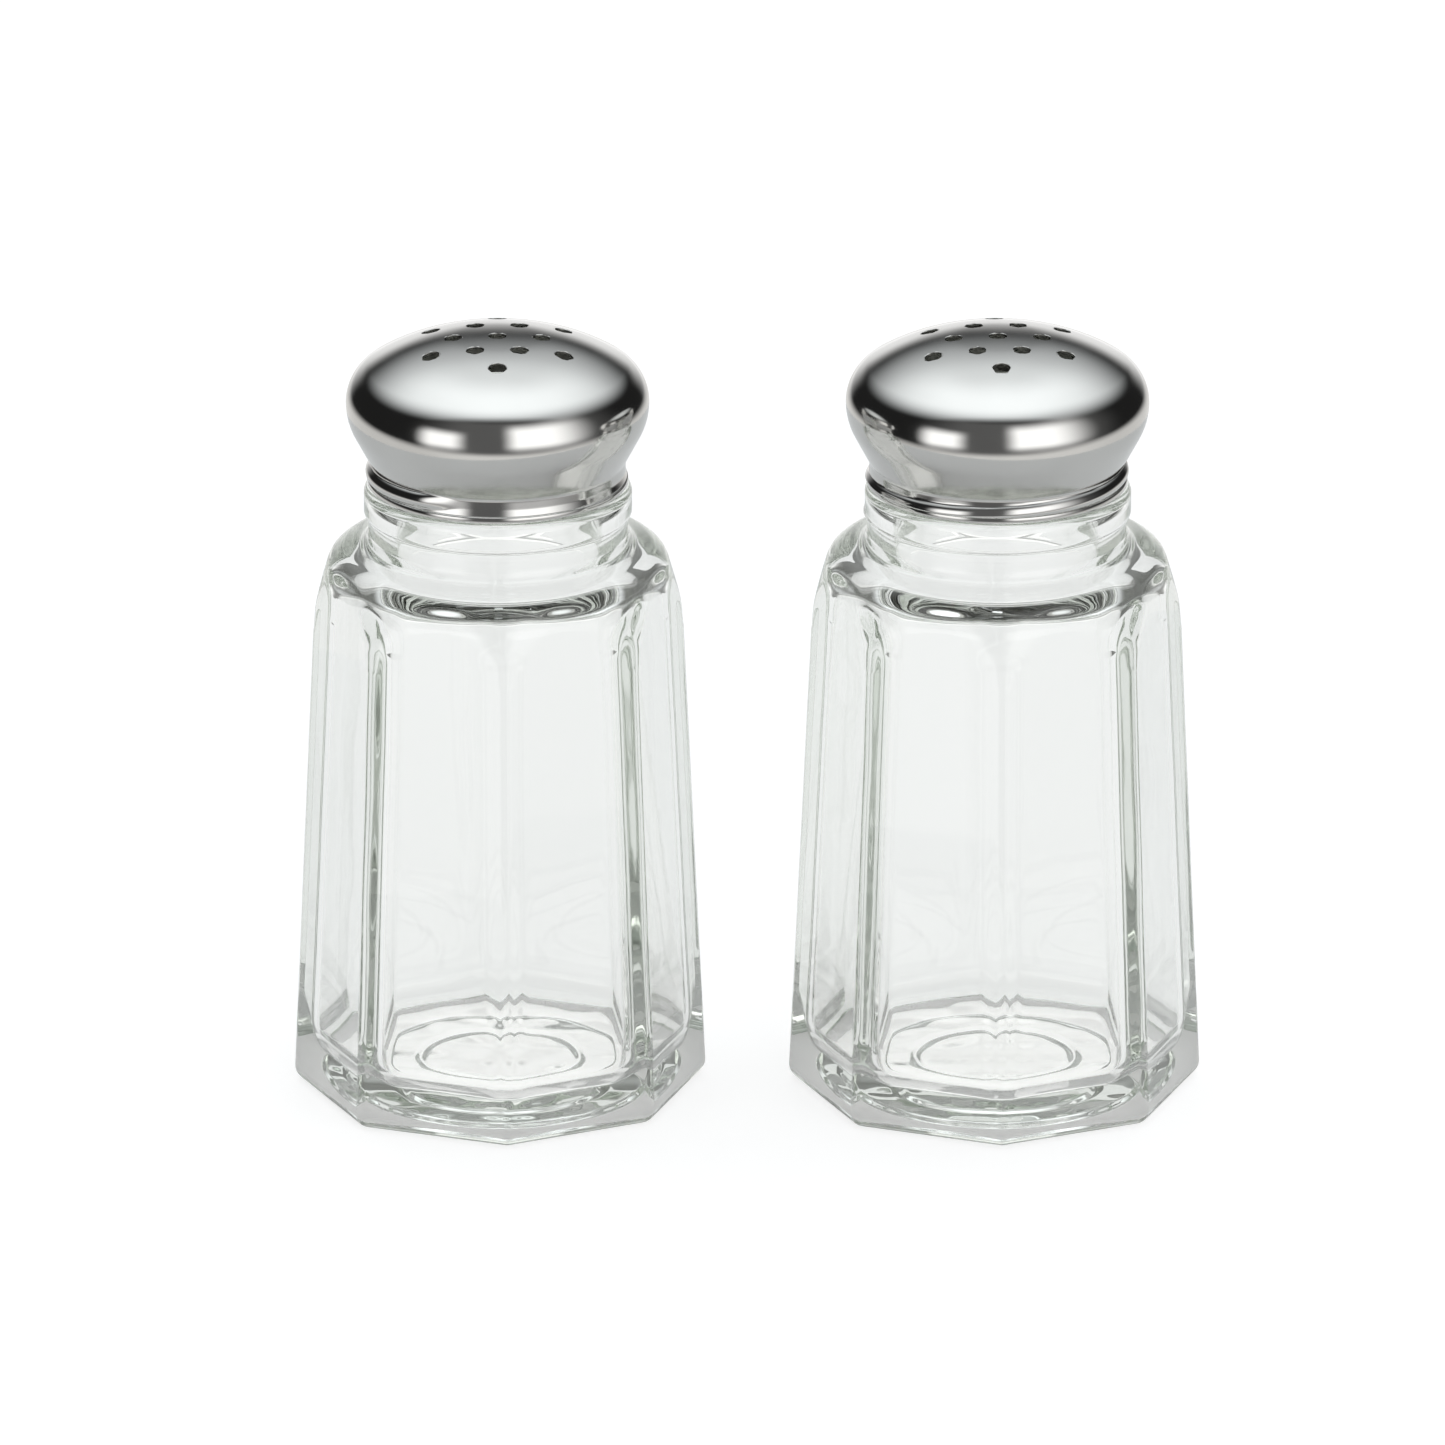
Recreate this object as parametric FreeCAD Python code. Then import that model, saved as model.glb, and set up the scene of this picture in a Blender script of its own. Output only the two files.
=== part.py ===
"""A pair of table shakers: panelled glass jars with screw-on stainless steel caps.

Units are millimetres and +Z is up. The origin is on the table, midway between the two
shakers, which stand side by side along X: salt at -X, pepper at +X. Each shaker is an
eight-sided glass jar with a corner to the front, and a thin pressed-steel cap that turns
on a helical thread. The rolled edge of the cap is a solid of its own, because it rises
with the cap and does not need to turn.
"""
import FreeCAD, Part
import math
import os

SPACING = 61.9                 # between the axes of the two shakers
SIDES = 8

# Glass jar, outside
BASE_CORNER = 26.00            # centre to corner of the octagon at the table
TOP_CORNER = 22.95             # the same at the shoulder
SHOULDER_Z = 66.0
CORNER_ROUND = 2.2             # rounding of the eight upright edges
HEEL_ROUND = 2.0               # rounding of the bottom edge
LOWER_BEND = (22.88, 62.80)    # where the upright edges start to lean in, as (r, z)
LOWER_BEND_ROUND = 8.0
UPPER_BEND = (20.75, 70.20)    # where the shoulder turns in to the neck
UPPER_BEND_ROUND = 3.4
NECK_R = 16.10
NECK_FOOT_Z = 71.45            # where the slope of the shoulder meets the neck
NECK_ROUND = 1.8
RING_R = 16.42                 # the plain ring under the thread
RING_BOTTOM_Z = 75.2
RING_TOP_Z = 78.7
RING_LOWER_ROUND = 0.15
RING_UPPER_ROUND = 1.0
FINISH_R = 14.85               # the threaded mouth, at the root of the thread
FINISH_ROUND = 0.3             # where the mouth rises from the ring
LIP_Z = 88.5
LIP_ROUND = 1.1
SKIM = 0.05                    # how far the turned shape stays outside the panels

# Glass jar, inside
WALL_BASE = 4.7
WALL_TOP = 4.4
FLOOR_Z = 4.2
FLOOR_ROUND = 4.0
INNER_ROUND = 5.0              # rounding of the inner corners
INNER_KNUCKLE_ROUND = 4.0      # rounding where the inner panels turn in to the shoulder
BORE_R = 12.6
BORE_EDGE = 0.9                # bevel from the bore to the lip
BORE_OVERLAP = 10.0            # how far the bore is carried down into the eight-sided room
INNER_SHOULDER_Z = 65.7
BORE_BOTTOM_Z = 67.9
HOLLOW_R = 15.0                # shallow hollow under the base
HOLLOW_DEPTH = 0.6

# Screw thread, right-handed
PITCH = 3.175
THREAD_CENTRE_R = 15.08        # centre of the round ridge on the glass
THREAD_RIDGE = 0.70
GROOVE_CENTRE_R = 15.17        # centre of the groove pressed in the cap
GROOVE = 0.90
CREST_Z = 80.95                # height of the thread where it passes the crest angle
THREAD_FROM = -110.0           # degrees along the helix from the crest angle, on the glass
THREAD_TO = 170.0
GROOVE_FROM = -250.0           # the same in the cap, where it runs out through the edge
GROOVE_TO = 190.0

# Steel cap
METAL = 0.35
APEX_Z = 98.0
CROWN_R = 64.0                 # nearly flat middle of the crown
CROWN_FLAT = 5.0
CROWN_OUTER_R = 25.0           # the crown outside its middle
WIDE_R = 18.80
WIDE_Z = 89.50
BROW_ROUND = 5.5               # from the crown to the widest ring
BELL_ROUND = 8.2               # from the widest ring to the flank
FLANK_ANGLE = 28.0             # degrees from upright
SKIRT_R = 15.86
SKIRT_ROUND = 1.1
FLARE_Z = 80.6
FLARE_R = 16.05
CAP_BOTTOM_Z = 79.75
HOLE_PITCH = 5.48              # spacing of the pouring holes
HOLE_R = 1.10

# Rolled edge of the cap
RIM_INNER_R = 15.93
RIM_OUTER_R = 16.18
RIM_BOTTOM_Z = 79.0
RIM_TOP_Z = 79.70
RIM_ROUND = 0.12
MARGIN = 1.0                   # how far a cutting shape reaches past what it cuts

# name: (position along X, turn of the jar, turn of the hole pattern, crest angle of the thread)
SHAKERS = {
    "salt": (-SPACING / 2, 2.7, 0.7, 236.5),
    "pepper": (SPACING / 2, 1.5, 2.0, 357.5),
}


def point(r, z):
    """A point of an upright section through the axis."""
    return FreeCAD.Vector(r, 0, z)


def outline(corners):
    """Closed wire through (r, z, rounding) corners of an upright section."""
    edges = []
    ends = []
    count = len(corners)
    for i in range(count):
        before = point(*corners[i - 1][:2])
        here = point(*corners[i][:2])
        after = point(*corners[(i + 1) % count][:2])
        rounding = corners[i][2]
        to_before = (before - here).normalize()
        to_after = (after - here).normalize()
        if rounding == 0:
            ends.append((here, here))
            continue
        half = to_before.getAngle(to_after) / 2
        reach = rounding / math.tan(half)
        start = here + to_before * reach
        end = here + to_after * reach
        middle = here + (to_before + to_after).normalize() * (rounding / math.sin(half) - rounding)
        edges.append(Part.Arc(start, middle, end).toShape())
        ends.append((start, end))
    for i in range(count):
        leave = ends[i - 1][1]
        arrive = ends[i][0]
        if leave.distanceToPoint(arrive) > 1e-6:
            edges.append(Part.LineSegment(leave, arrive).toShape())
    return Part.Wire(Part.__sortEdges__(edges))


def revolved(wire):
    """Solid of revolution of a closed wire about Z."""
    face = Part.Face(wire)
    return face.revolve(FreeCAD.Vector(0, 0, 0), FreeCAD.Vector(0, 0, 1), 360)


def octagon(corner, rounding, z):
    """Octagon with a corner on each axis, its corners rounded."""
    edges = []
    half_side = math.pi / SIDES
    inset = rounding / math.cos(half_side)
    for i in range(SIDES):
        angle = 2 * half_side * i
        centre = FreeCAD.Vector(math.cos(angle), math.sin(angle), 0) * (corner - inset)
        centre.z = z
        arc_points = [centre + FreeCAD.Vector(math.cos(angle + a), math.sin(angle + a), 0) * rounding
                      for a in (-half_side, 0, half_side)]
        edges.append(Part.Arc(*arc_points).toShape())
    starts = [edge.Vertexes[0].Point for edge in edges]
    finishes = [edge.Vertexes[-1].Point for edge in edges]
    for i in range(SIDES):
        edges.append(Part.LineSegment(finishes[i - 1], starts[i]).toShape())
    return Part.Wire(Part.__sortEdges__(edges))


def corner_radius(z):
    """Centre to corner of the outer octagon at a height."""
    return BASE_CORNER + (TOP_CORNER - BASE_CORNER) * z / SHOULDER_Z


def panelled_body():
    """Tapered eight-sided block with a rounded bottom edge."""
    top_z = RING_BOTTOM_Z
    lower = octagon(BASE_CORNER, CORNER_ROUND, 0)
    upper = octagon(corner_radius(top_z), CORNER_ROUND, top_z)
    block = Part.makeLoft([lower, upper], True, True)
    bottom_edges = [edge for edge in block.Edges if edge.BoundBox.ZMax < 1e-6]
    return block.makeFillet(HEEL_ROUND, bottom_edges)


def jar_envelope():
    """Turned shape that cuts the shoulder on the panels and adds the neck and mouth."""
    return revolved(outline([
        (0, 0, 0),
        (BASE_CORNER + SKIM, 0, 0),
        (*LOWER_BEND, LOWER_BEND_ROUND),
        (*UPPER_BEND, UPPER_BEND_ROUND),
        (NECK_R, NECK_FOOT_Z, NECK_ROUND),
        (NECK_R, RING_BOTTOM_Z, RING_LOWER_ROUND),
        (RING_R, RING_BOTTOM_Z, RING_LOWER_ROUND),
        (RING_R, RING_TOP_Z, RING_UPPER_ROUND),
        (FINISH_R, RING_TOP_Z, FINISH_ROUND),
        (FINISH_R, LIP_Z, LIP_ROUND),
        (0, LIP_Z, 0),
    ]))


def jar_cavity():
    """Room inside the jar: eight-sided below, turned at the shoulder, then the bore."""
    to_corner = math.cos(math.pi / SIDES)
    lower_corner = BASE_CORNER - WALL_BASE / to_corner
    upper_corner = TOP_CORNER - WALL_TOP / to_corner
    lower = octagon(lower_corner, INNER_ROUND, FLOOR_Z)
    upper = octagon(upper_corner, INNER_ROUND, SHOULDER_Z)
    block = Part.makeLoft([lower, upper], True, True)
    floor_edges = [edge for edge in block.Edges if edge.BoundBox.ZMax < FLOOR_Z + 1e-6]
    block = block.makeFillet(FLOOR_ROUND, floor_edges)
    dome = revolved(outline([
        (0, 0, 0),
        (lower_corner, 0, 0),
        (upper_corner, INNER_SHOULDER_Z, INNER_KNUCKLE_ROUND),
        (BORE_R, BORE_BOTTOM_Z, 0),
        (0, BORE_BOTTOM_Z, 0),
    ]))
    mouth = revolved(outline([
        (0, SHOULDER_Z - BORE_OVERLAP, 0),
        (BORE_R, SHOULDER_Z - BORE_OVERLAP, 0),
        (BORE_R, LIP_Z - BORE_EDGE, 0),
        (BORE_R + BORE_EDGE, LIP_Z, 0),
        (BORE_R + BORE_EDGE, LIP_Z + MARGIN, 0),
        (0, LIP_Z + MARGIN, 0),
    ]))
    return block.common(dome).fuse(mouth)


def helical_bar(centre_r, radius, start, finish):
    """Round bar along the thread between two angles from the crest angle, with ball ends."""
    height = PITCH * (finish - start) / 360
    helix = Part.makeHelix(PITCH, height, centre_r)
    circle = Part.Wire(Part.makeCircle(radius, point(centre_r, 0), FreeCAD.Vector(0, 1, 0)))
    bar = Part.Wire(helix).makePipeShell([circle], True, True)
    turn = math.radians(finish - start)
    last = FreeCAD.Vector(centre_r * math.cos(turn), centre_r * math.sin(turn), height)
    bar = bar.fuse([Part.makeSphere(radius, point(centre_r, 0)), Part.makeSphere(radius, last)])
    bar.rotate(FreeCAD.Vector(0, 0, 0), FreeCAD.Vector(0, 0, 1), start)
    bar.translate(FreeCAD.Vector(0, 0, CREST_Z + PITCH * start / 360))
    return bar


def turned(shape, angle):
    """The shape turned about Z by an angle in degrees."""
    shape.rotate(FreeCAD.Vector(0, 0, 0), FreeCAD.Vector(0, 0, 1), angle)
    return shape


def base_hollow():
    """Shallow hollow under the base, so that the jar stands on a flat ring."""
    return revolved(outline([
        (0, -MARGIN, 0),
        (HOLLOW_R, -MARGIN, 0),
        (HOLLOW_R, 0, 0),
        (HOLLOW_R - HOLLOW_DEPTH, HOLLOW_DEPTH, 0),
        (0, HOLLOW_DEPTH, 0),
    ]))


def glass_jar(jar_turn, crest_angle):
    """One jar, with its thread where the cap expects it."""
    envelope = jar_envelope()
    body = panelled_body().common(envelope)
    mouth_block = Part.makeCylinder(BASE_CORNER, LIP_Z, point(0, RING_BOTTOM_Z - MARGIN))
    body = body.fuse(envelope.common(mouth_block))
    body = turned(body.cut(jar_cavity()), jar_turn)
    thread = turned(helical_bar(THREAD_CENTRE_R, THREAD_RIDGE, THREAD_FROM, THREAD_TO), crest_angle)
    bore = Part.makeCylinder(BORE_R + MARGIN, LIP_Z)
    return body.cut(base_hollow()).fuse(thread.cut(bore)).removeSplitter()


def arc_edge(centre, radius, start, finish):
    """Arc of an upright section, between two angles in degrees from outward."""
    places = []
    for angle in (start, (start + finish) / 2, finish):
        turn = math.radians(angle)
        places.append(point(centre[0] + radius * math.cos(turn), centre[1] + radius * math.sin(turn)))
    return Part.Arc(*places).toShape()


def cap_section(inset):
    """Closed section of the cap, as a filled shape, moved in by the inset from the outside."""
    crown_centre = (0, APEX_Z - CROWN_R)
    join = math.degrees(math.acos(CROWN_FLAT / CROWN_R))
    step = CROWN_R - CROWN_OUTER_R
    outer_centre = (step * math.cos(math.radians(join)),
                    crown_centre[1] + step * math.sin(math.radians(join)))
    brow_centre_r = WIDE_R - BROW_ROUND
    brow_reach = CROWN_OUTER_R - BROW_ROUND
    brow_centre_z = outer_centre[1] + math.sqrt(brow_reach ** 2 - (brow_centre_r - outer_centre[0]) ** 2)
    brow = math.degrees(math.atan2(brow_centre_z - outer_centre[1], brow_centre_r - outer_centre[0]))
    bell_centre = (WIDE_R - BELL_ROUND, brow_centre_z)
    flank = math.radians(FLANK_ANGLE)
    flank_top = (bell_centre[0] + BELL_ROUND * math.cos(flank),
                 bell_centre[1] - BELL_ROUND * math.sin(flank))
    skirt_centre_r = SKIRT_R + SKIRT_ROUND
    drop = (flank_top[0] - skirt_centre_r + SKIRT_ROUND * math.cos(flank)) / math.tan(flank)
    skirt_centre_z = flank_top[1] - drop - SKIRT_ROUND * math.sin(flank)
    edges = [
        arc_edge(crown_centre, CROWN_R - inset, 90, join),
        arc_edge(outer_centre, CROWN_OUTER_R - inset, join, brow),
        arc_edge((brow_centre_r, brow_centre_z), BROW_ROUND - inset, brow, 0),
        arc_edge(bell_centre, BELL_ROUND - inset, 0, -FLANK_ANGLE),
        arc_edge((skirt_centre_r, skirt_centre_z), SKIRT_ROUND + inset, 180 - FLANK_ANGLE, 180),
    ]
    bell_end = edges[3].Vertexes[-1].Point
    skirt_start = edges[4].Vertexes[0].Point
    edges.insert(4, Part.LineSegment(bell_end, skirt_start).toShape())
    foot = [edges[-1].Vertexes[-1].Point,
            point(SKIRT_R - inset, FLARE_Z),
            point(FLARE_R - inset, CAP_BOTTOM_Z),
            point(0, CAP_BOTTOM_Z),
            edges[0].Vertexes[0].Point]
    for start, end in zip(foot, foot[1:]):
        edges.append(Part.LineSegment(start, end).toShape())
    return Part.Wire(Part.__sortEdges__(edges))


def hole_places():
    """Centre hole, six around it, and six more in the gaps of the star."""
    places = [(0, 0)]
    far_pitch = HOLE_PITCH * math.sqrt(3)
    for i in range(6):
        near = math.radians(60 * i)
        far = math.radians(60 * i + 30)
        places.append((HOLE_PITCH * math.cos(near), HOLE_PITCH * math.sin(near)))
        places.append((far_pitch * math.cos(far), far_pitch * math.sin(far)))
    return places


def steel_cap(hole_turn, crest_angle):
    """Pressed cap: a domed crown with pouring holes, and a skirt with the rolled thread."""
    bead = helical_bar(GROOVE_CENTRE_R, GROOVE + METAL, GROOVE_FROM, GROOVE_TO)
    groove = helical_bar(GROOVE_CENTRE_R, GROOVE, GROOVE_FROM, GROOVE_TO)
    inside = revolved(cap_section(METAL))
    shell = revolved(cap_section(0)).fuse(bead)
    shell = shell.cut(inside).cut(groove)
    below = Part.makeCylinder(2 * WIDE_R, CAP_BOTTOM_Z)
    core = Part.makeCylinder(SKIRT_R - METAL, WIDE_Z - CAP_BOTTOM_Z, point(0, CAP_BOTTOM_Z))
    shell = shell.cut(below).cut(core)
    crown_z = WIDE_Z + MARGIN
    punches = [Part.makeCylinder(HOLE_R, APEX_Z - WIDE_Z, FreeCAD.Vector(x, y, crown_z))
               for x, y in hole_places()]
    holes = turned(Part.makeCompound(punches), hole_turn - crest_angle)
    return turned(shell.cut(holes), crest_angle)


def rolled_edge():
    """Ring of rolled metal along the bottom of the cap."""
    return revolved(outline([
        (RIM_INNER_R, RIM_BOTTOM_Z, RIM_ROUND),
        (RIM_OUTER_R, RIM_BOTTOM_Z, RIM_ROUND),
        (RIM_OUTER_R, RIM_TOP_Z, RIM_ROUND),
        (RIM_INNER_R, RIM_TOP_Z, RIM_ROUND),
    ]))


def main():
    os.makedirs("parts", exist_ok=True)
    for name, (x, jar_turn, hole_turn, crest_angle) in SHAKERS.items():
        pieces = {
            name + "_jar": glass_jar(jar_turn, crest_angle),
            name + "_cap": steel_cap(hole_turn, crest_angle),
            name + "_cap_rim": rolled_edge(),
        }
        for node, shape in pieces.items():
            shape.translate(FreeCAD.Vector(x, 0, 0))
            shape.exportStep("parts/" + node + ".step")
            box = shape.BoundBox
            print(node, "solids", len(shape.Solids), "valid", shape.isValid(),
                  "volume", round(shape.Volume, 1),
                  "x", round(box.XMin, 2), round(box.XMax, 2),
                  "y", round(box.YMin, 2), round(box.YMax, 2),
                  "z", round(box.ZMin, 2), round(box.ZMax, 2))


main()
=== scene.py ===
import math

import bpy
import numpy as np
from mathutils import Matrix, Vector, geometry, noise


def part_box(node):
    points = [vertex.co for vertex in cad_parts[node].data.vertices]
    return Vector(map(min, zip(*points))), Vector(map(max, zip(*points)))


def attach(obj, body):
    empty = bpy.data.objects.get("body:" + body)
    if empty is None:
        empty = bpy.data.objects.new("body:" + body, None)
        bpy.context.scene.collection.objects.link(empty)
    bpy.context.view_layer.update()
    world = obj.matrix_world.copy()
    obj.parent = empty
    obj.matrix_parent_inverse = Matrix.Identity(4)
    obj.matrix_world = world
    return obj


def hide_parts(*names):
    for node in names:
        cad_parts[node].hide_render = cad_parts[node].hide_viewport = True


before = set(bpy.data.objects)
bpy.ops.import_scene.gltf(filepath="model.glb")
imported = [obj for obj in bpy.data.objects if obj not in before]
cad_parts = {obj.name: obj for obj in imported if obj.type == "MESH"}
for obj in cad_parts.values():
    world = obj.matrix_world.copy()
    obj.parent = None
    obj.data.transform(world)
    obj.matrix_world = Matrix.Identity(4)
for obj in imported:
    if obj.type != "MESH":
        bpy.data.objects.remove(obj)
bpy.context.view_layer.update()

# All sizes below are in millimetres, as on the drawing of the shakers, and become metres here.
MM = 0.001

# name: (turn of the jar, turn of the hole pattern, crest angle of the thread), in degrees
SHAKERS = {"salt": (2.7, 0.7, 236.5), "pepper": (1.5, 2.0, 357.5)}

# Glass jar, outside
BASE_CORNER = 26.0
TOP_CORNER = 22.95
SHOULDER_Z = 66.0
CORNER_ROUND = 2.2
HEEL_ROUND = 2.0
LOWER_BEND = (22.88, 62.80)
LOWER_BEND_ROUND = 8.0
UPPER_BEND = (20.75, 70.20)
UPPER_BEND_ROUND = 3.4
NECK_R = 16.10
NECK_FOOT_Z = 71.45
NECK_ROUND = 1.8
RING_R = 16.42
RING_BOTTOM_Z = 75.2
RING_TOP_Z = 78.7
FINISH_R = 14.85
LIP_Z = 88.5
ARCH_BLEND = 0.5               # softness of the arched edges between panels and shoulder

# Glass jar, inside
WALL_BASE = 4.7
WALL_TOP = 4.4
FLOOR_Z = 4.2
FLOOR_ROUND = 4.0
INNER_ROUND = 5.0
INNER_KNUCKLE_ROUND = 4.0
BORE_R = 12.6
INNER_SHOULDER_Z = 65.7
BORE_BOTTOM_Z = 67.9
HOLLOW_R = 15.0
HOLLOW_DEPTH = 0.6
MOULD_MARK_R = 9.3             # uneven ring in the hollow, as a mould may leave it
MOULD_MARK_WIDTH = 0.55

# Screw thread
PITCH = 3.175
RIDGE_CENTRE_R = 15.08
RIDGE = 0.70
BEAD_CENTRE_R = 15.17
BEAD = 1.25
CREST_Z = 80.95
RIDGE_SPAN = (-110.0, 170.0)
BEAD_SPAN = (-250.0, 18.0)      # the part that stands out of the flank

# Steel cap
METAL = 0.35
APEX_Z = 98.0
CROWN_R = 64.0
CROWN_FLAT = 5.0
CROWN_OUTER_R = 25.0
WIDE_R = 18.80
BROW_ROUND = 5.5
BELL_ROUND = 8.2
FLANK_ANGLE = 28.0
SKIRT_R = 15.86
SKIRT_ROUND = 1.1
FLARE_Z = 80.6
FLARE_R = 16.05
CAP_BOTTOM_Z = 79.75
HOLE_PITCH = 5.48
HOLE_R = 1.10
HOLE_EDGE = 0.12               # rounding of a hole's edge
NET_R = 12.6                   # the perforated middle of the crown is meshed on its own
RIM_INNER_R = 15.93
RIM_OUTER_R = 16.18
RIM_BOTTOM_Z = 79.0
RIM_TOP_Z = 79.70

# Offsets from a corner, in degrees, of the points round one side of the octagon
FROM_CORNER = (0, 0.4, 0.8, 1.2, 1.6, 2.0, 2.5, 3.1, 3.8, 4.6, 5.5, 6.6, 8.0, 9.6,
               11.3, 13.1, 14.9, 16.8, 18.7, 20.6)
SIDES = 8
HALF_SIDE = math.pi / SIDES
INSIDE_MARK = "inside"         # 1 on the inner skin of a cap, 0 elsewhere; there the steel is duller and has painted shade in its colour

# Unevenness of the pressed glass
WAVE_SIZE = 11.0
RIPPLE_SIZE = 4.5
INSIDE_WAVE = 0.10
INSIDE_RIPPLE = 0.05
OUTSIDE_WAVE = 0.012
FLOOR_RIPPLE = 0.16
HOLLOW_RIPPLE = 0.10

GLASS_DEPTH_COLOUR = (0.50, 0.58, 0.46)
GLASS_DEPTH_DENSITY = 8.0      # per metre of glass
CAP_AROUND = 288               # points round a cap


# ---------------------------------------------------------------- outlines

def arc_points(centre, radius, start, finish, step):
    """Points along an arc between two angles in radians, its ends included."""
    count = max(2, int(abs(finish - start) * radius / step) + 1)
    angles = np.linspace(start, finish, count + 1)
    return [(centre[0] + radius * math.cos(a), centre[1] + radius * math.sin(a)) for a in angles]


def rounded_outline(corners, step, arc_step):
    """Open outline through (r, z, rounding) corners, as closely spaced points."""
    points = [corners[0][:2]]
    for i in range(1, len(corners) - 1):
        here = Vector(corners[i][:2])
        to_before = (Vector(corners[i - 1][:2]) - here).normalized()
        to_after = (Vector(corners[i + 1][:2]) - here).normalized()
        rounding = corners[i][2]
        if rounding == 0:
            points.append(tuple(here))
            continue
        half = to_before.angle(to_after) / 2
        centre = here + (to_before + to_after).normalized() * (rounding / math.sin(half))
        start = here + to_before * (rounding / math.tan(half)) - centre
        end = here + to_after * (rounding / math.tan(half)) - centre
        first = math.atan2(start.y, start.x)
        turn = (math.atan2(end.y, end.x) - first + math.pi) % (2 * math.pi) - math.pi
        points += arc_points(centre, rounding, first, first + turn, arc_step)
    points.append(corners[-1][:2])
    dense = [points[0]]
    for start, end in zip(points, points[1:]):
        length = math.dist(start, end)
        if length < 1e-6:
            continue
        count = max(1, math.ceil(length / step))
        dense += [(start[0] + (end[0] - start[0]) * k / count,
                   start[1] + (end[1] - start[1]) * k / count)
                  for k in range(1, count + 1)]
    return np.array(dense)


def octagon_angles():
    """Angles round the jar, from a corner at 0, closer together near the corners."""
    quarter = list(FROM_CORNER) + [22.5]
    side = quarter + [45 - a for a in quarter[-2:0:-1]]
    return np.radians([45 * k + a for k in range(SIDES) for a in side])


def octagon_radius(angles, corner, rounding, inset=0.0):
    """Distance from the axis to a rounded octagon with a corner at angle 0."""
    apothem = corner * math.cos(HALF_SIDE) - inset
    rounding = max(rounding - inset, 0.15)
    from_middle = np.abs((angles % (2 * HALF_SIDE)) - HALF_SIDE)
    flat_until = math.atan((apothem - rounding) * math.tan(HALF_SIDE) / apothem)
    centre = (apothem - rounding) / math.cos(HALF_SIDE)
    from_corner = HALF_SIDE - from_middle
    under = np.maximum(rounding ** 2 - (centre * np.sin(from_corner)) ** 2, 0)
    return np.where(from_middle < flat_until, apothem / np.cos(from_middle),
                    centre * np.cos(from_corner) + np.sqrt(under))


def soft_min(a, b, blend):
    """The smaller of two radii, with the edge between them blended."""
    share = np.clip(0.5 + 0.5 * (b - a) / blend, 0, 1)
    return b + (a - b) * share - blend * share * (1 - share)


def helix_lift(angles, crest_angle, span, z):
    """Distance above the thread's centre line at each angle, and how far inside its ends."""
    along = (np.degrees(angles) - crest_angle) % 360
    best = np.full(len(angles), 1e3)
    inside = np.zeros(len(angles))
    for turn in (-1, 0):
        position = along + 360 * turn
        lift = z - (CREST_Z + PITCH * position / 360)
        within = np.clip(np.minimum(position - span[0], span[1] - position) / 25.0, 0, 1)
        closer = (np.abs(lift) < np.abs(best)) & (within > 0)
        best = np.where(closer, lift, best)
        inside = np.where(closer, within, inside)
    return best, inside


def thread_bulge(angles, crest_angle, span, z, centre_r, radius, plain_r):
    """How far a round thread stands out of a plain wall at each angle."""
    lift, inside = helix_lift(angles, crest_angle, span, z)
    reach = np.sqrt(np.maximum(radius ** 2 - lift ** 2, 0)) + centre_r - plain_r
    return np.maximum(reach, 0) * inside * inside * (3 - 2 * inside)


def waviness(points, size, seed):
    """Smooth random number in about -1..1 for each point, for the unevenness of pressed glass."""
    shift = Vector((seed * 13.7, seed * 5.1, seed * 9.3))
    return np.array([noise.noise(Vector(p) / size + shift) for p in points])


# ---------------------------------------------------------------- meshes

def ring_faces(rows, around):
    """Quads between neighbouring closed rows of points."""
    faces = []
    for i in range(rows - 1):
        a = i * around
        b = a + around
        for j in range(around):
            k = (j + 1) % around
            faces.append((a + j, a + k, b + k, b + j))
    return faces


def make_object(name, points, faces, material):
    """Smooth-shaded mesh object from points in millimetres."""
    mesh = bpy.data.meshes.new(name)
    mesh.from_pydata([tuple(p) for p in np.asarray(points) * MM], [], faces)
    mesh.validate()
    mesh.materials.append(material)
    mesh.polygons.foreach_set("use_smooth", [True] * len(mesh.polygons))
    obj = bpy.data.objects.new(name, mesh)
    bpy.context.scene.collection.objects.link(obj)
    return obj


def corner_at(z):
    """Centre to corner of the outer octagon at a height."""
    return BASE_CORNER + (TOP_CORNER - BASE_CORNER) * z / SHOULDER_Z


def inner_corner_at(z):
    """Centre to corner of the inner octagon at a height."""
    low = BASE_CORNER - WALL_BASE / math.cos(HALF_SIDE)
    high = TOP_CORNER - WALL_TOP / math.cos(HALF_SIDE)
    return low + (high - low) * (z - FLOOR_Z) / (SHOULDER_Z - FLOOR_Z)


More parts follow.
